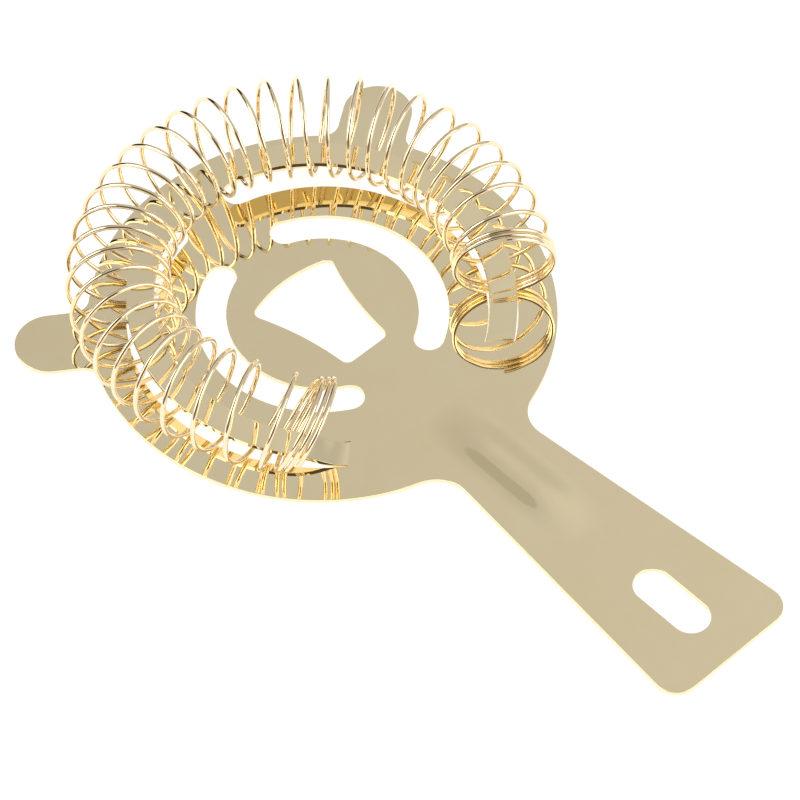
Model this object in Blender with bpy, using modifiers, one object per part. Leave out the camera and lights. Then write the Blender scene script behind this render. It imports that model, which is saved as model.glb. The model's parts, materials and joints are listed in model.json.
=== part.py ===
"""Hawthorne strainer: a stamped sheet-metal plate and the coil spring that is threaded on its two tongues.

Units are metres, +Z is up. The strainer lies on its flat underside, with the spring on top, and its
handle points along +X. The origin is under the middle of the object's bounding box, on the surface that
it lies on. In the functions below, plan points are measured from the disc's centre, and angles from the
handle's direction.
"""

import math

import bmesh
import bpy
from mathutils import Vector

MM = 0.001

# Driving sizes
DISC_RADIUS = 42.0 * MM
SHEET = 0.9 * MM
HANDLE_END = 102.65 * MM
WIRE = 0.9 * MM
COIL_RADIUS = 9.0 * MM
SPRING_FRONT = 45.8 * MM

# The frame is centred between the handle's end and the far side of the spring.
DISC_CENTRE = Vector(((SPRING_FRONT - HANDLE_END) / 2, 0.0, 0.0))

# Handle: its half width at the disc's centre line, and how fast its edges spread from there
HANDLE_HALF_WIDTH = 4.67 * MM
HANDLE_FLARE = math.radians(5.54)
HANDLE_CORNER = 4.2 * MM
NECK_FILLET = 6.15 * MM
HANG_SLOT_CENTRE = 87.6 * MM
HANG_SLOT_LENGTH = 16.0 * MM
HANG_SLOT_WIDTH = 7.0 * MM

# Rib pressed up along the neck
RIB_START = 30.0 * MM
RIB_END = 68.0 * MM
RIB_HALF_WIDTH = 6.0 * MM
RIB_HEIGHT = 0.8 * MM
RIB_TAPER = 0.35
RIB_CUTS_ALONG = 9
RIB_CUTS_ACROSS = 6

# Ears
EAR_ANGLE = math.radians(125.2)
EAR_REACH = 48.8 * MM
EAR_HALF_WIDTH = 6.4 * MM
EAR_FILLET = 3.0 * MM

# Drain slots and bell-shaped window
DRAIN_RADIUS = 19.95 * MM
DRAIN_WIDTH = 5.45 * MM
DRAIN_START = math.radians(29.0)
DRAIN_END = math.radians(157.3)
WINDOW_NARROW_X = 11.9 * MM
WINDOW_NARROW_HALF = 4.8 * MM
WINDOW_WIDE_X = -8.8 * MM
WINDOW_WIDE_HALF = 9.6 * MM
WINDOW_CORNER = 1.5 * MM
WINDOW_SIDE_BOW = -0.7 * MM
WINDOW_WIDE_BOW = 1.3 * MM

# Tongues: each is lanced out of the disc, stays joined to it at its root, and rises towards its free tip.
LANCE_INNER = 29.65 * MM
LANCE_OUTER = 35.0 * MM
KERF = 0.32 * MM
ROOT_INNER = math.radians(33.1)
ROOT_OUTER = math.radians(35.4)
LANCE_END = math.radians(166.1)
TIP = math.radians(165.0)
TONGUE_CUTS = 22
CUT_CROWDING = 1.5
RAMP_RISE = 2.8 * MM
RAMP_LENGTH = 5.5 * MM
RAMP_SWEEP = 1.6
TONGUE_SLOPE = 0.058

# Spring: the wire starts under one tongue and winds as a right-handed helix to the other.
FIRST_TURN = 0.25
LAST_TURN = 36.5
POINTS_PER_TURN = 12
COIL_RISE = 0.67 * MM
# Along the spring: turns from its start, the coil's place, its centre's reach from the disc's centre (mm),
# the swing of the coil's plane and the lean of its top. The angles are in degrees: places are measured
# clockwise from the handle, seen from above, and swings and leans are positive when anticlockwise.
STATIONS = (
    (0.25, 45.4, 32.6, -13.0, 24.0),
    (2.25, 49.2, 32.6, -12.0, 24.0),
    (2.75, 50.5, 32.7, -11.0, 22.0),
    (3.25, 55.4, 32.7, -7.0, 16.0),
    (3.75, 57.0, 33.0, -6.0, 13.0),
    (4.25, 65.6, 32.8, -2.0, 8.0),
    (4.75, 70.3, 32.8, 0.0, 5.0),
    (6.0, 82.4, 33.2, 6.0, 3.0),
    (7.5, 94.8, 34.2, 8.0, 2.0),
    (9.5, 109.5, 35.2, 7.0, 0.0),
    (14.5, 148.0, 36.3, 2.0, 1.0),
    (20.5, 193.7, 36.3, -2.0, 1.0),
    (26.5, 241.0, 35.3, -5.0, 1.0),
    (31.5, 281.3, 33.2, -7.0, 0.0),
    (33.0, 294.0, 32.7, -4.0, -3.0),
    (34.0, 304.3, 32.6, 0.0, -7.0),
    (36.5, 309.2, 32.6, 4.0, -8.0),
)

ARC_STEP = math.radians(5.0)
CORNER_STEP = math.radians(15.0)
BOW_STEPS = 6
SHARP_EDGE = math.radians(30.0)
MERGE_DISTANCE = 0.001 * MM
BOX_MARGIN = 0.01 * MM


def clear_scene():
    for obj in list(bpy.data.objects):
        bpy.data.objects.remove(obj, do_unlink=True)


def gold(name, colour, roughness):
    material = bpy.data.materials.new(name)
    material.use_nodes = True
    shader = material.node_tree.nodes["Principled BSDF"]
    shader.inputs["Base Color"].default_value = (*colour, 1.0)
    shader.inputs["Metallic"].default_value = 1.0
    shader.inputs["Roughness"].default_value = roughness
    return material


def unit(angle):
    return Vector((math.cos(angle), math.sin(angle)))


def angle_of(point):
    return math.atan2(point.y, point.x)


def smooth_step(value, low, high):
    part = min(max((value - low) / (high - low), 0.0), 1.0)
    return part * part * (3.0 - 2.0 * part)


def mirrored(points):
    """The same points on the other side of the handle's centre line, in reverse order."""
    return [Vector((point.x, -point.y)) for point in reversed(points)]


def arc(centre, radius, start, end, step=ARC_STEP):
    """Points on an arc from one angle to another, which may run either way round."""
    count = max(2, math.ceil(abs(end - start) / step))
    return [centre + radius * unit(start + (end - start) * i / count) for i in range(count + 1)]


def disc_fillet(edge_point, along, outward, radius):
    """Centre of the fillet outside the disc that joins it to a straight edge running away from it."""
    base = edge_point + outward * radius
    across = base.dot(along)
    to_disc = across**2 - base.length_squared + (DISC_RADIUS + radius) ** 2
    return base + along * (math.sqrt(to_disc) - across)


def handle_edge():
    """The handle's corner, its edge and its neck fillet, from the end towards the disc."""
    along = unit(HANDLE_FLARE)
    outward = unit(HANDLE_FLARE + math.pi / 2)
    start = Vector((0.0, HANDLE_HALF_WIDTH))
    corner_x = HANDLE_END - HANDLE_CORNER
    corner_y = start.y - (HANDLE_CORNER + corner_x * outward.x) / outward.y
    corner = arc(Vector((corner_x, corner_y)), HANDLE_CORNER, 0.0, angle_of(outward), CORNER_STEP)
    centre = disc_fillet(start, along, outward, NECK_FILLET)
    fillet_start = angle_of(outward) + math.pi
    fillet = arc(centre, NECK_FILLET, fillet_start, angle_of(centre) + math.pi, CORNER_STEP)
    return corner + fillet, angle_of(centre)


def ear():
    """The ear's outline, with the angles where it leaves the disc and meets it again."""
    along = unit(EAR_ANGLE)
    sides = [unit(EAR_ANGLE + turn) for turn in (-math.pi / 2, math.pi / 2)]
    centres = [disc_fillet(side * EAR_HALF_WIDTH, along, side, EAR_FILLET) for side in sides]
    near, far = [angle_of(centre) for centre in centres]
    right = EAR_ANGLE - math.pi / 2
    left = EAR_ANGLE + math.pi / 2
    points = arc(centres[0], EAR_FILLET, near + math.pi, right + math.pi, CORNER_STEP)
    points += arc(along * EAR_REACH, EAR_HALF_WIDTH, right, left, CORNER_STEP)
    points += arc(centres[1], EAR_FILLET, left + math.pi, far + math.pi, CORNER_STEP)
    return points, near, far


def plate_outline():
    handle, disc_start = handle_edge()
    ear_points, ear_near, ear_far = ear()
    origin = Vector((0.0, 0.0))
    half = handle
    half += arc(origin, DISC_RADIUS, disc_start, ear_near)[1:-1]
    half += ear_points
    half += arc(origin, DISC_RADIUS, ear_far, math.pi)[1:]
    return half + mirrored(half[:-1])


def hang_slot():
    reach = (HANG_SLOT_LENGTH - HANG_SLOT_WIDTH) / 2
    right = Vector((HANG_SLOT_CENTRE + reach, 0.0))
    left = Vector((HANG_SLOT_CENTRE - reach, 0.0))
    quarter = math.pi / 2
    points = arc(right, HANG_SLOT_WIDTH / 2, -quarter, quarter, CORNER_STEP)
    return points + arc(left, HANG_SLOT_WIDTH / 2, quarter, 3 * quarter, CORNER_STEP)


def drain_slot():
    origin = Vector((0.0, 0.0))
    half = DRAIN_WIDTH / 2
    end_centre = unit(DRAIN_END) * DRAIN_RADIUS
    start_centre = unit(DRAIN_START) * DRAIN_RADIUS
    points = arc(origin, DRAIN_RADIUS + half, DRAIN_START, DRAIN_END)
    points += arc(end_centre, half, DRAIN_END, DRAIN_END + math.pi, CORNER_STEP)[1:-1]
    points += arc(origin, DRAIN_RADIUS - half, DRAIN_END, DRAIN_START)
    points += arc(start_centre, half, DRAIN_START + math.pi, DRAIN_START + 2 * math.pi, CORNER_STEP)[1:-1]
    return points


def bowed_outline(corners, bows, radius):
    """A closed outline, anticlockwise, with round corners. Each side is bowed outwards by its own amount."""
    count = len(corners)
    sides = [corners[(i + 1) % count] - corners[i] for i in range(count)]
    tilts = [2 * math.atan(2 * bows[i] / sides[i].length) for i in range(count)]
    arcs = []
    for i, corner in enumerate(corners):
        back = -sides[i - 1].normalized()
        forward = sides[i].normalized()
        to_centre = (back + forward).normalized()
        centre = corner + to_centre * radius / math.sin(back.angle(forward) / 2)
        start = angle_of(sides[i - 1]) + tilts[i - 1] - math.pi / 2
        turn = (angle_of(sides[i]) - tilts[i] - math.pi / 2 - start) % (2 * math.pi)
        arcs.append(arc(centre, radius, start, start + turn, CORNER_STEP))
    points = []
    for i in range(count):
        points += arcs[i]
        start = arcs[i][-1]
        chord = arcs[(i + 1) % count][0] - start
        outward = Vector((chord.y, -chord.x)).normalized()
        if bows[i]:
            fractions = [j / BOW_STEPS for j in range(1, BOW_STEPS)]
            points += [start + chord * f + outward * bows[i] * 4 * f * (1 - f) for f in fractions]
    return points


def window():
    corners = [
        Vector((WINDOW_NARROW_X, -WINDOW_NARROW_HALF)),
        Vector((WINDOW_NARROW_X, WINDOW_NARROW_HALF)),
        Vector((WINDOW_WIDE_X, WINDOW_WIDE_HALF)),
        Vector((WINDOW_WIDE_X, -WINDOW_WIDE_HALF)),
    ]
    return bowed_outline(corners, (0.0, WINDOW_SIDE_BOW, WINDOW_WIDE_BOW, WINDOW_SIDE_BOW), WINDOW_CORNER)


def root_angle(radius):
    """Angle of the slanted line along which a tongue is joined to the disc."""
    part = (radius - LANCE_INNER) / (LANCE_OUTER - LANCE_INNER)
    return ROOT_INNER + (ROOT_OUTER - ROOT_INNER) * part


def tongue_station(radius, part):
    """The point at a radius that is this part of the way from the tongue's root to its tip."""
    angle = root_angle(radius)
    return radius * unit(angle + (TIP - angle) * part)


def station_parts():
    """Parts of a tongue's length at which it is cut across, closer together on the ramp at its root."""
    return [(i / TONGUE_CUTS) ** CUT_CROWDING for i in range(TONGUE_CUTS + 1)]


def lance_slot():
    """The slot round a tongue: along its outer wall, back along its inner wall, then round the tongue."""
    parts = station_parts()
    slot_middle = (LANCE_INNER + LANCE_OUTER) / 2
    slot_half = (LANCE_OUTER - LANCE_INNER) / 2
    end_centre = unit(LANCE_END) * slot_middle
    tip_centre = unit(TIP) * slot_middle
    points = [tongue_station(LANCE_OUTER, part) for part in parts]
    points += arc(end_centre, slot_half, LANCE_END, LANCE_END + math.pi, CORNER_STEP)
    points += [tongue_station(LANCE_INNER, part) for part in reversed(parts)]
    points += [tongue_station(LANCE_INNER + KERF, part) for part in parts]
    points += arc(tip_centre, slot_half - KERF, TIP + math.pi, TIP, CORNER_STEP)[1:-1]
    points += [tongue_station(LANCE_OUTER - KERF, part) for part in reversed(parts)]
    return points


def flat_mesh(outlines):
    """A flat mesh of the first outline with the others cut out of it, from a filled 2D curve."""
    curve = bpy.data.curves.new("plate_outline", "CURVE")
    curve.dimensions = "2D"
    curve.fill_mode = "BOTH"
    for outline in outlines:
        spline = curve.splines.new("POLY")
        spline.points.add(len(outline) - 1)
        for point, place in zip(spline.points, outline):
            point.co = (place.x, place.y, 0.0, 1.0)
        spline.use_cyclic_u = True
    holder = bpy.data.objects.new("plate_outline", curve)
    bpy.context.scene.collection.objects.link(holder)
    graph = bpy.context.evaluated_depsgraph_get()
    mesh = bpy.data.meshes.new_from_object(holder.evaluated_get(graph))
    bpy.data.objects.remove(holder)
    bpy.data.curves.remove(curve)
    return mesh


def cut(bm, faces, point, normal):
    """Cuts these faces along a plane."""
    edges = {edge for face in faces for edge in face.edges}
    corners = {corner for face in faces for corner in face.verts}
    geometry = list(faces) + list(edges) + list(corners)
    bmesh.ops.bisect_plane(bm, geom=geometry, dist=MERGE_DISTANCE / 10, plane_co=point, plane_no=normal)


def overlaps_box(face, first, second):
    """Whether the face's own plan box overlaps the inside of the box between two plan points."""
    for axis in (0, 1):
        values = [corner.co[axis] for corner in face.verts]
        low, high = sorted((first[axis], second[axis]))
        if max(values) < low + BOX_MARGIN or min(values) > high - BOX_MARGIN:
            return False
    return True


def cut_between(bm, faces, first, second):
    """Cuts these faces along the upright plane through two plan points."""
    run = second - first
    cut(bm, faces, first.to_3d(), Vector((-run.y, run.x, 0.0)))


def on_tongue(point, side):
    """Whether a plan point is on the tongue of this side, 1 for +Y and -1 for -Y, past its root."""
    flipped = Vector((point.x, point.y * side))
    radius = flipped.length
    if (flipped - unit(TIP) * (LANCE_INNER + LANCE_OUTER) / 2).length < (LANCE_OUTER - LANCE_INNER) / 2:
        return True
    return LANCE_INNER < radius < LANCE_OUTER and root_angle(radius) < angle_of(flipped) < TIP


def cut_tongues(bm):
    for side in (1, -1):
        for part in station_parts()[:-1]:
            ends = [tongue_station(radius, part) for radius in (LANCE_INNER, LANCE_OUTER)]
            first, second = [Vector((end.x, end.y * side)) for end in ends]
            if part == 0.0:
                faces = [face for face in bm.faces if overlaps_box(face, first, second)]
            else:
                faces = [face for face in bm.faces if on_tongue(face.calc_center_median(), side)]
            cut_between(bm, faces, first, second)


def cut_rib(bm):
    """Cuts a grid where the rib is: first the sides of its rectangle, then the lines inside."""
    low = Vector((RIB_START, -RIB_HALF_WIDTH))
    high = Vector((RIB_END, RIB_HALF_WIDTH))
    along = [i / RIB_CUTS_ALONG for i in range(RIB_CUTS_ALONG + 1)]
    across = [i / RIB_CUTS_ACROSS for i in range(RIB_CUTS_ACROSS + 1)]
    sides = [(0, 0.0), (0, 1.0), (1, 0.0), (1, 1.0)]
    inner = [(0, part) for part in along[1:-1]] + [(1, part) for part in across[1:-1]]
    for axis, part in sides + inner:
        point = low.lerp(high, part).to_3d()
        faces = [face for face in bm.faces if overlaps_box(face, low, high)]
        cut(bm, faces, point, Vector((axis == 0, axis == 1, 0.0)))


def rib_height(x, y):
    """Height of the rib: rounded across, and tapered at both ends."""
    if not (RIB_START < x < RIB_END and abs(y) < RIB_HALF_WIDTH):
        return 0.0
    taper = RIB_TAPER * (RIB_END - RIB_START)
    ends = smooth_step(x, RIB_START, RIB_START + taper) * smooth_step(-x, -RIB_END, -RIB_END + taper)
    return RIB_HEIGHT * ends * (1 + math.cos(math.pi * y / RIB_HALF_WIDTH)) / 2


def tongue_height(x, y):
    """Height of a tongue above the disc: a short ramp at its root, then a long gentle rise."""
    radius = math.hypot(x, y)
    run = max(math.atan2(abs(y), x) - root_angle(radius), 0.0) * (LANCE_INNER + LANCE_OUTER) / 2
    return RAMP_RISE * (1 - math.exp(-((run / RAMP_LENGTH) ** RAMP_SWEEP))) + TONGUE_SLOPE * run


def make_plate(collection):
    slots = [lance_slot(), drain_slot()]
    slots += [mirrored(slot) for slot in slots]
    mesh = flat_mesh([plate_outline(), hang_slot(), window(), *slots])
    mesh.name = "strainer_plate"
    bm = bmesh.new()
    bm.from_mesh(mesh)
    bmesh.ops.remove_doubles(bm, verts=bm.verts, dist=MERGE_DISTANCE)
    for face in bm.faces:
        if face.normal.z < 0:
            face.normal_flip()
    cut_tongues(bm)
    cut_rib(bm)
    bmesh.ops.triangulate(bm, faces=bm.faces)
    tongues = [face for face in bm.faces for side in (1, -1) if on_tongue(face.calc_center_median(), side)]
    raised = {corner for face in tongues for corner in face.verts}
    for corner in bm.verts:
        x, y = corner.co.xy
        corner.co.z = SHEET + rib_height(x, y)
        if corner in raised:
            corner.co.z += tongue_height(x, y)
    bm.to_mesh(mesh)
    bm.free()
    plate = bpy.data.objects.new("strainer_plate", mesh)
    collection.objects.link(plate)
    plate.location = DISC_CENTRE
    solidify = plate.modifiers.new("sheet", "SOLIDIFY")
    solidify.thickness = SHEET
    solidify.offset = -1.0
    solidify.use_even_offset = True
    plate.data.shade_smooth()
    plate.data.set_sharp_from_angle(angle=SHARP_EDGE)
    plate.data.materials.append(gold("plate_gold", (0.80, 0.66, 0.42), 0.05))
    return plate


def slopes(turns, values):
    """A curve's slope at each station. It is level where the values turn back, so nothing overshoots."""
    steps = [(values[i + 1] - values[i]) / (turns[i + 1] - turns[i]) for i in range(len(turns) - 1)]
    inner = [2 * a * b / (a + b) if a * b > 0 else 0.0 for a, b in zip(steps, steps[1:])]
    return [steps[0], *inner, steps[-1]]


def along_spring(turn, column):
    """The value of one of the stations' columns at any turn, as a smooth curve through the stations."""
    turns = [station[0] for station in STATIONS]
    values = [station[column] for station in STATIONS]
    slope = slopes(turns, values)
    i = max(j for j in range(len(turns) - 1) if turns[j] <= turn)
    run = turns[i + 1] - turns[i]
    part = (turn - turns[i]) / run
    rest = 1 - part
    start = values[i] * (1 + 2 * part) + slope[i] * run * part
    end = values[i + 1] * (1 + 2 * rest) - slope[i + 1] * run * rest
    return start * rest**2 + end * part**2


def spring_point(turn):
    """A point on the wire's centre line. A whole turn is the bottom of a coil, which then goes outwards."""
    place = math.radians(along_spring(turn, 1))
    reach = along_spring(turn, 2) * MM
    facing = math.radians(along_spring(turn, 3)) - place
    lean = math.radians(along_spring(turn, 4))
    outward = unit(facing).to_3d()
    forward = unit(facing + math.pi / 2).to_3d()
    upward = Vector((0.0, 0.0, math.cos(lean))) + forward * math.sin(lean)
    rise = SHEET + COIL_RISE + COIL_RADIUS * math.cos(lean)
    centre = (unit(-place) * reach).to_3d() + Vector((0.0, 0.0, rise))
    phase = 2 * math.pi * turn
    return centre + COIL_RADIUS * (outward * math.sin(phase) - upward * math.cos(phase))


def make_spring(collection, pivot):
    curve = bpy.data.curves.new("coil_spring", "CURVE")
    curve.dimensions = "3D"
    curve.bevel_depth = WIRE / 2
    curve.bevel_resolution = 2
    curve.use_fill_caps = True
    count = round((LAST_TURN - FIRST_TURN) * POINTS_PER_TURN) + 1
    spline = curve.splines.new("POLY")
    spline.points.add(count - 1)
    for i, point in enumerate(spline.points):
        point.co = (*spring_point(FIRST_TURN + i / POINTS_PER_TURN), 1.0)
    spring = bpy.data.objects.new("coil_spring", curve)
    collection.objects.link(spring)
    spring.parent = pivot
    curve.materials.append(gold("spring_gold", (0.86, 0.70, 0.42), 0.08))
    return spring


def make_pivot(collection):
    """The upright axis through the disc's centre, about which the spring slides along its tongues."""
    pivot = bpy.data.objects.new("spring_pivot", None)
    pivot.empty_display_size = DISC_RADIUS
    pivot.location = DISC_CENTRE
    collection.objects.link(pivot)
    return pivot


def main():
    clear_scene()
    collection = bpy.data.collections.new("hawthorne_strainer")
    bpy.context.scene.collection.children.link(collection)
    make_plate(collection)
    make_spring(collection, make_pivot(collection))


main()
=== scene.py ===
"""Looks of a gold hawthorne strainer: the stamped plate and its coil spring, on a white studio table.

Units are metres. The strainer lies on the table with its spring up, and its handle points along +X.
Plan points of the plate are measured from the disc's centre, and angles from the handle's direction.
"""

import json
import math

import bmesh
import bpy
from mathutils import Matrix, Vector


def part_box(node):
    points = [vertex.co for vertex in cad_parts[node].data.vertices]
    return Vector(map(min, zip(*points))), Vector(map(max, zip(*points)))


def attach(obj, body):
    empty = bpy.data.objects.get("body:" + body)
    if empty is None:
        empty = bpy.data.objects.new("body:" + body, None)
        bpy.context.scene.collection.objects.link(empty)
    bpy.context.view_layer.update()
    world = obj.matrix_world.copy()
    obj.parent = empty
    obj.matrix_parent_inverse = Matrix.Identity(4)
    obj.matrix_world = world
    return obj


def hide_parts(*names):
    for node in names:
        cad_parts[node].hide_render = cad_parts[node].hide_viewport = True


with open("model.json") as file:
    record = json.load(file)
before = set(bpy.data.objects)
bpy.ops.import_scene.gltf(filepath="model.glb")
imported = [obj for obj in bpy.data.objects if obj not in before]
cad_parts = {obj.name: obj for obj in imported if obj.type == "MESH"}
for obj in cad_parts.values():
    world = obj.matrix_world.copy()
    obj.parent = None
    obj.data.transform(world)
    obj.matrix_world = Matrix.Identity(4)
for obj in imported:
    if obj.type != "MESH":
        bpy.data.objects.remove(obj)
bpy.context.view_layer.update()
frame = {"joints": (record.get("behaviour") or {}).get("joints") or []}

MM = 0.001

# The frame gives the disc's centre, which the spring turns about.
DISC_CENTRE = Vector(frame["joints"][0]["pos_m"])

# Plate, as in the CAD design but with a finer kerf and a softer foot on each ramp
DISC_RADIUS = 42.0 * MM
SHEET = 0.9 * MM
HANDLE_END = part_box("strainer_plate")[1].x - DISC_CENTRE.x
HANDLE_HALF_WIDTH = 4.67 * MM
HANDLE_FLARE = math.radians(5.54)
HANDLE_CORNER = 4.2 * MM
NECK_FILLET = 6.15 * MM
HANG_SLOT_CENTRE = 87.6 * MM
HANG_SLOT_LENGTH = 16.0 * MM
HANG_SLOT_WIDTH = 7.0 * MM
EAR_ANGLE = math.radians(125.2)
EAR_REACH = 48.8 * MM
EAR_HALF_WIDTH = 6.4 * MM
EAR_FILLET = 3.0 * MM
DRAIN_RADIUS = 19.95 * MM
DRAIN_WIDTH = 5.45 * MM
DRAIN_START = math.radians(29.0)
DRAIN_END = math.radians(157.3)
WINDOW_NARROW_X = 11.9 * MM
WINDOW_NARROW_HALF = 4.8 * MM
WINDOW_WIDE_X = -8.8 * MM
WINDOW_WIDE_HALF = 9.6 * MM
WINDOW_CORNER = 1.5 * MM
WINDOW_SIDE_BOW = -0.7 * MM
WINDOW_WIDE_BOW = 1.3 * MM
LANCE_INNER = 29.65 * MM
LANCE_OUTER = 35.0 * MM
KERF = 0.18 * MM
ROOT_INNER = math.radians(33.1)
ROOT_OUTER = math.radians(35.4)
LANCE_END = math.radians(166.1)
TIP = math.radians(165.0)
TONGUE_MIDDLE = (LANCE_INNER + LANCE_OUTER) / 2
TONGUE_HALF_WIDTH = (LANCE_OUTER - LANCE_INNER) / 2
RAMP_RISE = 2.8 * MM
RAMP_LENGTH = 5.5 * MM
RAMP_SWEEP = 2.0
TONGUE_SLOPE = 0.058
RIB_START = 30.0 * MM
RIB_END = 68.0 * MM
RIB_HALF_WIDTH = 6.0 * MM
RIB_HEIGHT = 0.8 * MM
RIB_TAPER = 0.35
RIB_LOW = Vector((RIB_START, -RIB_HALF_WIDTH))
RIB_HIGH = Vector((RIB_END, RIB_HALF_WIDTH))

# Fineness of the plate's mesh
ARC_STEP = math.radians(1.5)
CORNER_STEP = math.radians(7.5)
BOW_STEPS = 14
TONGUE_CUTS = 70
CUT_CROWDING = 1.5
RIB_CUTS_ALONG = 56
RIB_CUTS_ACROSS = 24
EDGE_ROUNDING = 0.07 * MM
EDGE_SEGMENTS = 4
EDGE_LIMIT = math.radians(50)
SMOOTH_LIMIT = math.radians(40.0)
FLAT_LIMIT = math.radians(0.5)
MERGE_DISTANCE = 0.0005 * MM
CUT_DISTANCE = MERGE_DISTANCE / 10
BOX_MARGIN = 0.01 * MM

# Spring, as in the CAD design but of a rounder wire, which has twice WIRE_FINENESS sides and four more.
# The wire starts at one tongue's root and winds to the other's.
WIRE = 0.9 * MM
COIL_RADIUS = 9.0 * MM
FIRST_TURN = 0.25
LAST_TURN = 36.5
POINTS_PER_TURN = 72
WIRE_FINENESS = 4
COIL_RISE = 0.67 * MM
# Along the spring: turns from its start, the coil's place, its centre's reach from the disc's centre (mm),
# the swing of the coil's plane and the lean of its top. The angles are in degrees: places are measured
# clockwise from the handle, seen from above, and swings and leans are positive when anticlockwise.
STATIONS = (
    (0.25, 45.4, 32.6, -13.0, 24.0),
    (2.25, 49.2, 32.6, -12.0, 24.0),
    (2.75, 50.5, 32.7, -11.0, 22.0),
    (3.25, 55.4, 32.7, -7.0, 16.0),
    (3.75, 57.0, 33.0, -6.0, 13.0),
    (4.25, 65.6, 32.8, -2.0, 8.0),
    (4.75, 70.3, 32.8, 0.0, 5.0),
    (6.0, 82.4, 33.2, 6.0, 3.0),
    (7.5, 94.8, 34.2, 8.0, 2.0),
    (9.5, 109.5, 35.2, 7.0, 0.0),
    (14.5, 148.0, 36.3, 2.0, 1.0),
    (20.5, 193.7, 36.3, -2.0, 1.0),
    (26.5, 241.0, 35.3, -5.0, 1.0),
    (31.5, 281.3, 33.2, -7.0, 0.0),
    (33.0, 294.0, 32.7, -4.0, -3.0),
    (34.0, 304.3, 32.6, 0.0, -7.0),
    (36.5, 309.2, 32.6, 4.0, -8.0),
)

# Gold: two tones, the least and most roughness, and the size and height of the surface's waves
PLATE_GOLD = ((0.99, 0.87, 0.575), (0.97, 0.83, 0.52), (0.015, 0.05), 7.0 * MM, 0.012 * MM)
SPRING_GOLD = ((0.99, 0.85, 0.61), (0.98, 0.80, 0.52), (0.01, 0.04), 2.5 * MM, 0.004 * MM)
TONE_SIZE = 25.0 * MM
TONE_DETAIL = 7.0
TONE_FINENESS = 0.75
WIPE_SIZE = 6.0 * MM
WIPE_DETAIL = 4.0
WAVE_DETAIL = 1.0
NOISE_LOW = 0.3
NOISE_HIGH = 0.7

# Floor: a pale table that glows evenly, so that hardly any shadow shows on it
FLOOR_SIZE = 6.0
FLOOR_GREY = 0.35
FLOOR_ROUGHNESS = 0.6
FLOOR_GLOW = 0.85

# Studio: the plain background, and panels that face the object. For each panel: its azimuth anticlockwise
# from the handle, its elevation, its width, its height and the softness of its edge, all in degrees, and
# its colour. A later panel covers an earlier one.
BACKGROUND = (0.6, 0.6, 0.6)
PANELS = (
    # Dim wall on one side, and a strip low on the other
    (-52.0, 10.0, 84.0, 56.0, 5.0, (0.16, 0.155, 0.15)),
    (100.0, 4.0, 110.0, 16.0, 6.0, (0.42, 0.41, 0.4)),
    # Two bright lights
    (-120.0, 38.0, 50.0, 54.0, 3.0, (2.2, 2.2, 2.2)),
    (22.0, 27.0, 56.0, 34.0, 3.0, (2.2, 2.2, 2.2)),
    # Two dark screens, which show as dark lines along the wire
    (-176.0, 10.0, 76.0, 48.0, 3.0, (0.02, 0.018, 0.015)),
    (-43.0, 50.0, 46.0, 40.0, 2.0, (0.09, 0.065, 0.045)),
    # Pale ceiling that the flat sheet mirrors to the camera, with a brighter part
    (137.0, 55.0, 84.0, 46.0, 5.0, (0.52, 0.51, 0.515)),
    (116.0, 58.0, 26.0, 40.0, 14.0, (0.66, 0.65, 0.645)),
    # Small dimmer card, there only to give the rib's flank its dark patch
    (173.5, 64.5, 8.5, 14.0, 1.0, (0.45, 0.445, 0.42)),
)
LEAST_DEPTH = 0.001

# Camera: where it looks, from the disc's centre, and from which side
CAMERA_TARGET = Vector((24.1 * MM, -3.7 * MM, SHEET))
CAMERA_AZIMUTH = math.radians(47.12)
CAMERA_ELEVATION = math.radians(51.85)
CAMERA_ROLL = math.radians(-0.57)
CAMERA_DISTANCE = 0.821
CAMERA_LENS = 209.9
CAMERA_SENSOR = 36.0


def unit(angle):
    return Vector((math.cos(angle), math.sin(angle)))


def angle_of(point):
    return math.atan2(point.y, point.x)


def smooth_step(value, low, high):
    part = min(max((value - low) / (high - low), 0.0), 1.0)
    return part * part * (3.0 - 2.0 * part)


def mirrored(points):
    """The same points on the other side of the handle's centre line, in reverse order."""
    return [Vector((point.x, -point.y)) for point in reversed(points)]


def arc(centre, radius, start, end, step=ARC_STEP):
    """Points on an arc from one angle to another, which may run either way round."""
    count = max(2, math.ceil(abs(end - start) / step))
    return [centre + radius * unit(start + (end - start) * i / count) for i in range(count + 1)]


def disc_fillet(edge_point, along, outward, radius):
    """Centre of the fillet outside the disc that joins it to a straight edge running away from it."""
    base = edge_point + outward * radius
    across = base.dot(along)
    reach = math.sqrt(across**2 - base.length_squared + (DISC_RADIUS + radius) ** 2)
    return base + along * (reach - across)


def handle_edge():
    """The handle's corner, its edge and its neck fillet, from the end towards the disc."""
    along = unit(HANDLE_FLARE)
    outward = unit(HANDLE_FLARE + math.pi / 2)
    start = Vector((0.0, HANDLE_HALF_WIDTH))
    corner_x = HANDLE_END - HANDLE_CORNER
    corner_y = start.y - (HANDLE_CORNER + corner_x * outward.x) / outward.y
    corner = arc(Vector((corner_x, corner_y)), HANDLE_CORNER, 0.0, angle_of(outward), CORNER_STEP)
    centre = disc_fillet(start, along, outward, NECK_FILLET)
    fillet_start = angle_of(outward) + math.pi
    fillet = arc(centre, NECK_FILLET, fillet_start, angle_of(centre) + math.pi, CORNER_STEP)
    return corner + fillet, angle_of(centre)


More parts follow.
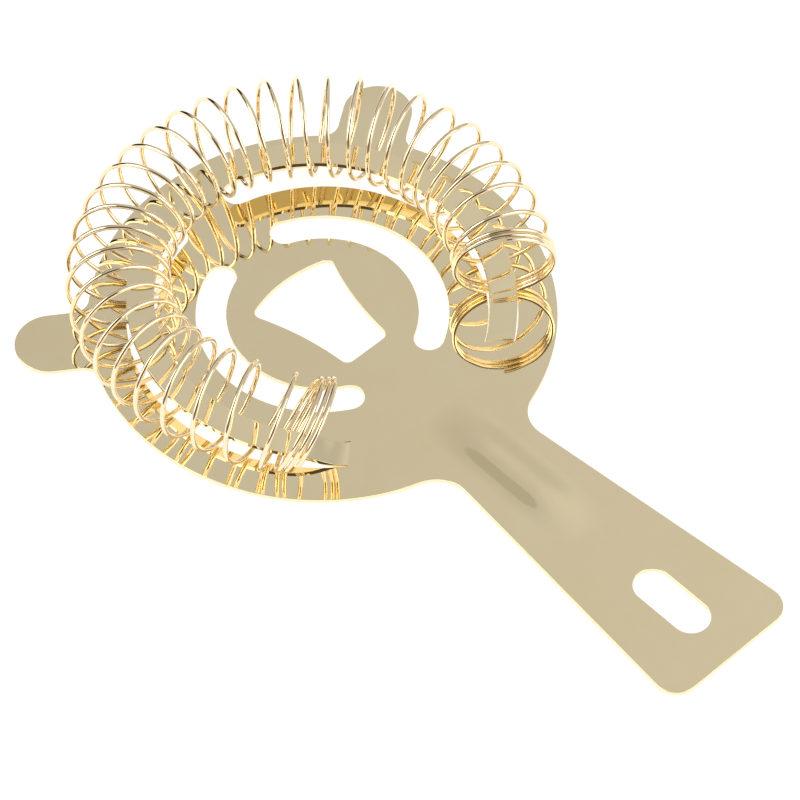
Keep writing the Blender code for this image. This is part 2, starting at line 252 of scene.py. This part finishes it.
def ear():
    """The ear's outline, with the angles where it leaves the disc and meets it again."""
    along = unit(EAR_ANGLE)
    right = EAR_ANGLE - math.pi / 2
    left = EAR_ANGLE + math.pi / 2
    sides = [unit(right), unit(left)]
    centres = [disc_fillet(side * EAR_HALF_WIDTH, along, side, EAR_FILLET) for side in sides]
    near, far = [angle_of(centre) for centre in centres]
    points = arc(centres[0], EAR_FILLET, near + math.pi, right + math.pi, CORNER_STEP)
    points += arc(along * EAR_REACH, EAR_HALF_WIDTH, right, left, CORNER_STEP)
    points += arc(centres[1], EAR_FILLET, left + math.pi, far + math.pi, CORNER_STEP)
    return points, near, far


def plate_outline():
    handle, disc_start = handle_edge()
    ear_points, ear_near, ear_far = ear()
    origin = Vector((0.0, 0.0))
    half = handle
    half += arc(origin, DISC_RADIUS, disc_start, ear_near)[1:-1]
    half += ear_points
    half += arc(origin, DISC_RADIUS, ear_far, math.pi)[1:]
    return half + mirrored(half[:-1])


def hang_slot():
    reach = (HANG_SLOT_LENGTH - HANG_SLOT_WIDTH) / 2
    right = Vector((HANG_SLOT_CENTRE + reach, 0.0))
    left = Vector((HANG_SLOT_CENTRE - reach, 0.0))
    quarter = math.pi / 2
    points = arc(right, HANG_SLOT_WIDTH / 2, -quarter, quarter, CORNER_STEP)
    return points + arc(left, HANG_SLOT_WIDTH / 2, quarter, 3 * quarter, CORNER_STEP)


def drain_slot():
    origin = Vector((0.0, 0.0))
    half = DRAIN_WIDTH / 2
    end_centre = unit(DRAIN_END) * DRAIN_RADIUS
    start_centre = unit(DRAIN_START) * DRAIN_RADIUS
    points = arc(origin, DRAIN_RADIUS + half, DRAIN_START, DRAIN_END)
    points += arc(end_centre, half, DRAIN_END, DRAIN_END + math.pi, CORNER_STEP)[1:-1]
    points += arc(origin, DRAIN_RADIUS - half, DRAIN_END, DRAIN_START)
    start_turn = DRAIN_START + math.pi
    points += arc(start_centre, half, start_turn, start_turn + math.pi, CORNER_STEP)[1:-1]
    return points


def bowed_outline(corners, bows, radius):
    """A closed outline, anticlockwise, with round corners and with each side bowed outwards."""
    count = len(corners)
    sides = [corners[(i + 1) % count] - corners[i] for i in range(count)]
    tilts = [2 * math.atan(2 * bows[i] / sides[i].length) for i in range(count)]
    arcs = []
    for i, corner in enumerate(corners):
        back = -sides[i - 1].normalized()
        forward = sides[i].normalized()
        to_centre = (back + forward).normalized()
        centre = corner + to_centre * radius / math.sin(back.angle(forward) / 2)
        start = angle_of(sides[i - 1]) + tilts[i - 1] - math.pi / 2
        turn = (angle_of(sides[i]) - tilts[i] - math.pi / 2 - start) % (2 * math.pi)
        arcs.append(arc(centre, radius, start, start + turn, CORNER_STEP))
    points = []
    for i in range(count):
        points += arcs[i]
        start = arcs[i][-1]
        chord = arcs[(i + 1) % count][0] - start
        outward = Vector((chord.y, -chord.x)).normalized()
        if bows[i]:
            fractions = [j / BOW_STEPS for j in range(1, BOW_STEPS)]
            points += [start + chord * f + outward * bows[i] * 4 * f * (1 - f) for f in fractions]
    return points


def window():
    corners = [
        Vector((WINDOW_NARROW_X, -WINDOW_NARROW_HALF)),
        Vector((WINDOW_NARROW_X, WINDOW_NARROW_HALF)),
        Vector((WINDOW_WIDE_X, WINDOW_WIDE_HALF)),
        Vector((WINDOW_WIDE_X, -WINDOW_WIDE_HALF)),
    ]
    bows = (0.0, WINDOW_SIDE_BOW, WINDOW_WIDE_BOW, WINDOW_SIDE_BOW)
    return bowed_outline(corners, bows, WINDOW_CORNER)


def root_angle(radius):
    """Angle of the slanted line along which a tongue is joined to the disc."""
    part = (radius - LANCE_INNER) / (LANCE_OUTER - LANCE_INNER)
    return ROOT_INNER + (ROOT_OUTER - ROOT_INNER) * part


def tongue_station(radius, part):
    """The point at a radius that is this part of the way from the tongue's root to its tip."""
    angle = root_angle(radius)
    return radius * unit(angle + (TIP - angle) * part)


def station_parts():
    """Parts of a tongue's length at which it is cut across, closer together on the ramp at its root."""
    return [(i / TONGUE_CUTS) ** CUT_CROWDING for i in range(TONGUE_CUTS + 1)]


def lance_slot():
    """The slot round a tongue: along its outer wall, back along its inner wall, then round the tongue."""
    parts = station_parts()
    end_centre = unit(LANCE_END) * TONGUE_MIDDLE
    tip_centre = unit(TIP) * TONGUE_MIDDLE
    points = [tongue_station(LANCE_OUTER, part) for part in parts]
    points += arc(end_centre, TONGUE_HALF_WIDTH, LANCE_END, LANCE_END + math.pi, CORNER_STEP)
    points += [tongue_station(LANCE_INNER, part) for part in reversed(parts)]
    points += [tongue_station(LANCE_INNER + KERF, part) for part in parts]
    points += arc(tip_centre, TONGUE_HALF_WIDTH - KERF, TIP + math.pi, TIP, CORNER_STEP)[1:-1]
    points += [tongue_station(LANCE_OUTER - KERF, part) for part in reversed(parts)]
    return points


def flat_mesh(outlines):
    """A flat mesh of the first outline with the others cut out of it, from a filled 2D curve."""
    curve = bpy.data.curves.new("plate_outline", "CURVE")
    curve.dimensions = "2D"
    curve.fill_mode = "BOTH"
    for outline in outlines:
        spline = curve.splines.new("POLY")
        spline.points.add(len(outline) - 1)
        for point, place in zip(spline.points, outline):
            point.co = (place.x, place.y, 0.0, 1.0)
        spline.use_cyclic_u = True
    holder = bpy.data.objects.new("plate_outline", curve)
    bpy.context.scene.collection.objects.link(holder)
    graph = bpy.context.evaluated_depsgraph_get()
    mesh = bpy.data.meshes.new_from_object(holder.evaluated_get(graph))
    bpy.data.objects.remove(holder)
    bpy.data.curves.remove(curve)
    return mesh


def cut(bm, faces, point, normal):
    """Cuts these faces along a plane."""
    edges = {edge for face in faces for edge in face.edges}
    corners = {corner for face in faces for corner in face.verts}
    geometry = list(faces) + list(edges) + list(corners)
    bmesh.ops.bisect_plane(bm, geom=geometry, dist=CUT_DISTANCE, plane_co=point, plane_no=normal)


def overlaps_box(face, first, second):
    """Whether the face's own plan box overlaps the inside of the box between two plan points."""
    for axis in (0, 1):
        values = [corner.co[axis] for corner in face.verts]
        low, high = sorted((first[axis], second[axis]))
        if max(values) < low + BOX_MARGIN or min(values) > high - BOX_MARGIN:
            return False
    return True


def cut_between(bm, faces, first, second):
    """Cuts these faces along the upright plane through two plan points."""
    run = second - first
    cut(bm, faces, first.to_3d(), Vector((-run.y, run.x, 0.0)))


def on_tongue(point, side):
    """Whether a plan point is on the tongue of this side, 1 for +Y and -1 for -Y, past its root."""
    flipped = Vector((point.x, point.y * side))
    radius = flipped.length
    if (flipped - unit(TIP) * TONGUE_MIDDLE).length < TONGUE_HALF_WIDTH:
        return True
    return LANCE_INNER < radius < LANCE_OUTER and root_angle(radius) < angle_of(flipped) < TIP


def cut_tongues(bm):
    for side in (1, -1):
        for part in station_parts()[:-1]:
            ends = [tongue_station(radius, part) for radius in (LANCE_INNER, LANCE_OUTER)]
            first, second = [Vector((end.x, end.y * side)) for end in ends]
            if part == 0.0:
                faces = [face for face in bm.faces if overlaps_box(face, first, second)]
            else:
                faces = [face for face in bm.faces if on_tongue(face.calc_center_median(), side)]
            cut_between(bm, faces, first, second)


def cut_rib(bm):
    """Cuts a grid where the rib is: first the sides of its rectangle, then the lines inside."""
    along = [i / RIB_CUTS_ALONG for i in range(RIB_CUTS_ALONG + 1)]
    across = [i / RIB_CUTS_ACROSS for i in range(RIB_CUTS_ACROSS + 1)]
    sides = [(0, 0.0), (0, 1.0), (1, 0.0), (1, 1.0)]
    inner = [(0, part) for part in along[1:-1]] + [(1, part) for part in across[1:-1]]
    for axis, part in sides + inner:
        point = RIB_LOW.lerp(RIB_HIGH, part).to_3d()
        faces = [face for face in bm.faces if overlaps_box(face, RIB_LOW, RIB_HIGH)]
        cut(bm, faces, point, Vector((axis == 0, axis == 1, 0.0)))


def clear_flats(bm, tongues):
    """Joins the small triangles of the flat sheet, so that their shading is as even as the sheet."""
    rib = {face for face in bm.faces if overlaps_box(face, RIB_LOW, RIB_HIGH)}
    flats = {face for face in bm.faces if face not in tongues and face not in rib}
    edges = [edge for edge in bm.edges if all(face in flats for face in edge.link_faces)]
    corners = [corner for corner in bm.verts if all(face in flats for face in corner.link_faces)]
    bmesh.ops.dissolve_limit(bm, angle_limit=FLAT_LIMIT, verts=corners, edges=edges)


def rib_height(x, y):
    """Height of the rib: rounded across, and tapered at both ends."""
    if not (RIB_START < x < RIB_END and abs(y) < RIB_HALF_WIDTH):
        return 0.0
    taper = RIB_TAPER * (RIB_END - RIB_START)
    start = smooth_step(x, RIB_START, RIB_START + taper)
    end = smooth_step(-x, -RIB_END, -RIB_END + taper)
    return RIB_HEIGHT * (start * end) * (1 + math.cos(math.pi * y / RIB_HALF_WIDTH)) / 2


def tongue_height(x, y):
    """Height of a tongue above the disc: a short ramp at its root, then a long gentle rise."""
    radius = math.hypot(x, y)
    run = max(math.atan2(abs(y), x) - root_angle(radius), 0.0) * TONGUE_MIDDLE
    climbed = 1 - math.exp(-((run / RAMP_LENGTH) ** RAMP_SWEEP))
    return RAMP_RISE * climbed + TONGUE_SLOPE * run


def settled(obj):
    """A mesh object in this one's place, with its modifiers applied."""
    graph = bpy.context.evaluated_depsgraph_get()
    mesh = bpy.data.meshes.new_from_object(obj.evaluated_get(graph))
    name = obj.name
    place = obj.location.copy()
    bpy.data.objects.remove(obj)
    settled_object = bpy.data.objects.new(name, mesh)
    bpy.context.scene.collection.objects.link(settled_object)
    settled_object.location = place
    mesh.shade_smooth()
    return settled_object


def make_plate():
    slots = [lance_slot(), drain_slot()]
    slots += [mirrored(slot) for slot in slots]
    mesh = flat_mesh([plate_outline(), hang_slot(), window(), *slots])
    mesh.name = "plate_look"
    bm = bmesh.new()
    bm.from_mesh(mesh)
    bmesh.ops.remove_doubles(bm, verts=bm.verts, dist=MERGE_DISTANCE)
    for face in bm.faces:
        if face.normal.z < 0:
            face.normal_flip()
    cut_tongues(bm)
    cut_rib(bm)
    middles = {face: face.calc_center_median() for face in bm.faces}
    tongues = {face for face in bm.faces if any(on_tongue(middles[face], side) for side in (1, -1))}
    raised = {corner for face in tongues for corner in face.verts}
    clear_flats(bm, tongues)
    for corner in bm.verts:
        x, y = corner.co.xy
        corner.co.z = SHEET + rib_height(x, y)
        if corner in raised:
            corner.co.z += tongue_height(x, y)
    bm.to_mesh(mesh)
    bm.free()
    plate = bpy.data.objects.new("plate_look", mesh)
    bpy.context.scene.collection.objects.link(plate)
    plate.location = DISC_CENTRE
    solidify = plate.modifiers.new("sheet", "SOLIDIFY")
    solidify.thickness = SHEET
    solidify.offset = -1.0
    solidify.use_even_offset = True
    bevel = plate.modifiers.new("edges", "BEVEL")
    bevel.width = EDGE_ROUNDING
    bevel.segments = EDGE_SEGMENTS
    bevel.limit_method = "ANGLE"
    bevel.angle_limit = EDGE_LIMIT
    bevel.use_clamp_overlap = False
    plate = settled(plate)
    plate.data.set_sharp_from_angle(angle=SMOOTH_LIMIT)
    evened = plate.modifiers.new("large_faces_lead", "WEIGHTED_NORMAL")
    evened.keep_sharp = True
    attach(plate, "plate")
    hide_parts("strainer_plate")
    return plate


def slopes(turns, values):
    """A curve's slope at each station. It is level where the values turn back, so nothing overshoots."""
    steps = [(values[i + 1] - values[i]) / (turns[i + 1] - turns[i]) for i in range(len(turns) - 1)]
    inner = [2 * a * b / (a + b) if a * b > 0 else 0.0 for a, b in zip(steps, steps[1:])]
    return [steps[0], *inner, steps[-1]]


def along_spring(turn, column):
    """The value of one of the stations' columns at any turn, as a smooth curve through the stations."""
    turns = [station[0] for station in STATIONS]
    values = [station[column] for station in STATIONS]
    slope = slopes(turns, values)
    i = max(j for j in range(len(turns) - 1) if turns[j] <= turn)
    run = turns[i + 1] - turns[i]
    part = (turn - turns[i]) / run
    rest = 1 - part
    start = values[i] * (1 + 2 * part) + slope[i] * run * part
    end = values[i + 1] * (1 + 2 * rest) - slope[i + 1] * run * rest
    return start * rest**2 + end * part**2


def spring_point(turn):
    """A point on the wire's centre line. A whole turn is the bottom of a coil, which then goes outwards."""
    place = math.radians(along_spring(turn, 1))
    reach = along_spring(turn, 2) * MM
    facing = math.radians(along_spring(turn, 3)) - place
    lean = math.radians(along_spring(turn, 4))
    outward = unit(facing).to_3d()
    forward = unit(facing + math.pi / 2).to_3d()
    upward = Vector((0.0, 0.0, math.cos(lean))) + forward * math.sin(lean)
    rise = SHEET + COIL_RISE + COIL_RADIUS * math.cos(lean)
    centre = (unit(-place) * reach).to_3d() + Vector((0.0, 0.0, rise))
    phase = 2 * math.pi * turn
    return centre + COIL_RADIUS * (outward * math.sin(phase) - upward * math.cos(phase))


def make_spring():
    curve = bpy.data.curves.new("spring_path", "CURVE")
    curve.dimensions = "3D"
    curve.bevel_depth = WIRE / 2
    curve.bevel_resolution = WIRE_FINENESS
    curve.use_fill_caps = True
    count = round((LAST_TURN - FIRST_TURN) * POINTS_PER_TURN) + 1
    spline = curve.splines.new("POLY")
    spline.points.add(count - 1)
    for i, point in enumerate(spline.points):
        point.co = (*spring_point(FIRST_TURN + i / POINTS_PER_TURN), 1.0)
    spline.use_smooth = True
    spring = bpy.data.objects.new("spring_wire", curve)
    bpy.context.scene.collection.objects.link(spring)
    spring.location = DISC_CENTRE
    spring = settled(spring)
    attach(spring, "spring")
    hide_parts("coil_spring")
    return spring


def noise(tree, place, size, detail, roughness=0.5):
    """Noise whose largest blotches have a given size in metres, over about the range 0 to 1."""
    node = tree.nodes.new("ShaderNodeTexNoise")
    node.inputs["Scale"].default_value = 1.0 / size
    node.inputs["Detail"].default_value = detail
    node.inputs["Roughness"].default_value = roughness
    tree.links.new(place, node.inputs["Vector"])
    stretch = tree.nodes.new("ShaderNodeMapRange")
    stretch.inputs["From Min"].default_value = NOISE_LOW
    stretch.inputs["From Max"].default_value = NOISE_HIGH
    tree.links.new(node.outputs["Fac"], stretch.inputs["Value"])
    return stretch.outputs[0]


def between(tree, factor, low, high):
    """A number that runs from low to high with the factor."""
    node = tree.nodes.new("ShaderNodeMapRange")
    node.inputs["To Min"].default_value = low
    node.inputs["To Max"].default_value = high
    tree.links.new(factor, node.inputs["Value"])
    return node.outputs[0]


def gold(name, pale, deep, roughness, wave, wave_height):
    """Polished gold plating: a mottled tone, wipe marks in the gloss, and slight waves."""
    material = bpy.data.materials.new(name)
    material.use_nodes = True
    tree = material.node_tree
    shader = tree.nodes["Principled BSDF"]
    place = tree.nodes.new("ShaderNodeTexCoord").outputs["Object"]
    tone = tree.nodes.new("ShaderNodeMix")
    tone.data_type = "RGBA"
    tone.inputs["A"].default_value = (*pale, 1.0)
    tone.inputs["B"].default_value = (*deep, 1.0)
    tree.links.new(noise(tree, place, TONE_SIZE, TONE_DETAIL, TONE_FINENESS), tone.inputs["Factor"])
    tree.links.new(tone.outputs["Result"], shader.inputs["Base Color"])
    wiped = noise(tree, place, WIPE_SIZE, WIPE_DETAIL)
    tree.links.new(between(tree, wiped, *roughness), shader.inputs["Roughness"])
    bump = tree.nodes.new("ShaderNodeBump")
    bump.inputs["Distance"].default_value = wave_height
    tree.links.new(noise(tree, place, wave, WAVE_DETAIL), bump.inputs["Height"])
    tree.links.new(bump.outputs["Normal"], shader.inputs["Normal"])
    shader.inputs["Metallic"].default_value = 1.0
    return material


def make_floor():
    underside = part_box("strainer_plate")[0].z
    bpy.ops.mesh.primitive_plane_add(size=FLOOR_SIZE, location=(0.0, 0.0, underside))
    floor = bpy.context.object
    floor.name = "table"
    material = bpy.data.materials.new("white_table")
    material.use_nodes = True
    shader = material.node_tree.nodes["Principled BSDF"]
    shader.inputs["Base Color"].default_value = (FLOOR_GREY, FLOOR_GREY, FLOOR_GREY, 1.0)
    shader.inputs["Roughness"].default_value = FLOOR_ROUGHNESS
    shader.inputs["Specular IOR Level"].default_value = 0.0
    shader.inputs["Emission Color"].default_value = (1.0, 1.0, 1.0, 1.0)
    shader.inputs["Emission Strength"].default_value = FLOOR_GLOW
    floor.data.materials.append(material)


def direction(azimuth, elevation):
    """Unit vector towards a compass direction from +X, anticlockwise, and a height, both in degrees."""
    a = math.radians(azimuth)
    e = math.radians(elevation)
    return Vector((math.cos(a) * math.cos(e), math.sin(a) * math.cos(e), math.sin(e)))


class WorldMixer:
    """Builds the studio round the object as soft rectangles of light and shade on a plain background."""

    def __init__(self, colour):
        world = bpy.data.worlds.new("studio")
        bpy.context.scene.world = world
        world.use_nodes = True
        self.tree = world.node_tree
        self.tree.nodes.clear()
        self.ray = self.tree.nodes.new("ShaderNodeTexCoord").outputs["Generated"]
        start = self.tree.nodes.new("ShaderNodeRGB")
        start.outputs[0].default_value = (*colour, 1.0)
        self.colour = start.outputs[0]

    def math(self, operation, first, second=0.0):
        node = self.tree.nodes.new("ShaderNodeMath")
        node.operation = operation
        for socket, value in zip(node.inputs, (first, second)):
            if isinstance(value, (int, float)):
                socket.default_value = value
            else:
                self.tree.links.new(value, socket)
        return node.outputs[0]

    def dot(self, axis):
        node = self.tree.nodes.new("ShaderNodeVectorMath")
        node.operation = "DOT_PRODUCT"
        self.tree.links.new(self.ray, node.inputs[0])
        node.inputs[1].default_value = axis
        return node.outputs["Value"]

    def fade(self, value, edge, softness):
        """1 below the edge and 0 above it, with a soft step between."""
        node = self.tree.nodes.new("ShaderNodeMapRange")
        node.interpolation_type = "SMOOTHSTEP"
        self.tree.links.new(value, node.inputs["Value"])
        node.inputs["From Min"].default_value = edge + softness
        node.inputs["From Max"].default_value = edge - softness
        node.inputs["To Min"].default_value = 0.0
        node.inputs["To Max"].default_value = 1.0
        return node.outputs[0]

    def panel(self, azimuth, elevation, width, height, softness, colour):
        """A panel facing the object; its width, height and edge softness are in degrees."""
        facing = direction(azimuth, elevation)
        side = direction(azimuth + 90.0, 0.0)
        up = facing.cross(side)
        depth = self.math("MAXIMUM", self.dot(facing), LEAST_DEPTH)
        masks = []
        for axis, size in ((side, width), (up, height)):
            offset = self.math("ABSOLUTE", self.math("DIVIDE", self.dot(axis), depth))
            edge = math.tan(math.radians(size / 2))
            masks.append(self.fade(offset, edge, math.tan(math.radians(softness))))
        mix = self.tree.nodes.new("ShaderNodeMix")
        mix.data_type = "RGBA"
        self.tree.links.new(self.math("MULTIPLY", *masks), mix.inputs["Factor"])
        self.tree.links.new(self.colour, mix.inputs["A"])
        mix.inputs["B"].default_value = (*colour, 1.0)
        self.colour = mix.outputs["Result"]

    def finish(self):
        """The object sees the panels, and the camera sees plain white behind it."""
        seen = self.tree.nodes.new("ShaderNodeMix")
        seen.data_type = "RGBA"
        path = self.tree.nodes.new("ShaderNodeLightPath")
        self.tree.links.new(path.outputs["Is Camera Ray"], seen.inputs["Factor"])
        self.tree.links.new(self.colour, seen.inputs["A"])
        seen.inputs["B"].default_value = (1.0, 1.0, 1.0, 1.0)
        background = self.tree.nodes.new("ShaderNodeBackground")
        output = self.tree.nodes.new("ShaderNodeOutputWorld")
        self.tree.links.new(seen.outputs["Result"], background.inputs["Color"])
        self.tree.links.new(background.outputs[0], output.inputs["Surface"])


def make_studio():
    studio = WorldMixer(BACKGROUND)
    for panel in PANELS:
        studio.panel(*panel)
    studio.finish()


def make_camera():
    back = Vector(
        (
            math.sin(CAMERA_AZIMUTH) * math.cos(CAMERA_ELEVATION),
            -math.cos(CAMERA_AZIMUTH) * math.cos(CAMERA_ELEVATION),
            math.sin(CAMERA_ELEVATION),
        )
    )
    turn = back.to_track_quat("Z", "Y").to_matrix() @ Matrix.Rotation(CAMERA_ROLL, 3, "Z")
    data = bpy.data.cameras.new("camera")
    data.lens = CAMERA_LENS
    data.sensor_width = CAMERA_SENSOR
    camera = bpy.data.objects.new("camera", data)
    bpy.context.scene.collection.objects.link(camera)
    place = DISC_CENTRE + CAMERA_TARGET + back * CAMERA_DISTANCE
    camera.matrix_world = Matrix.Translation(place) @ turn.to_4x4()
    bpy.context.scene.camera = camera


def main():
    bpy.context.scene.view_settings.view_transform = "Standard"
    make_camera()
    make_studio()
    make_floor()
    plate = make_plate()
    plate.data.materials.append(gold("plate_gold", *PLATE_GOLD))
    spring = make_spring()
    spring.data.materials.append(gold("spring_gold", *SPRING_GOLD))
    bpy.context.view_layer.update()


main()
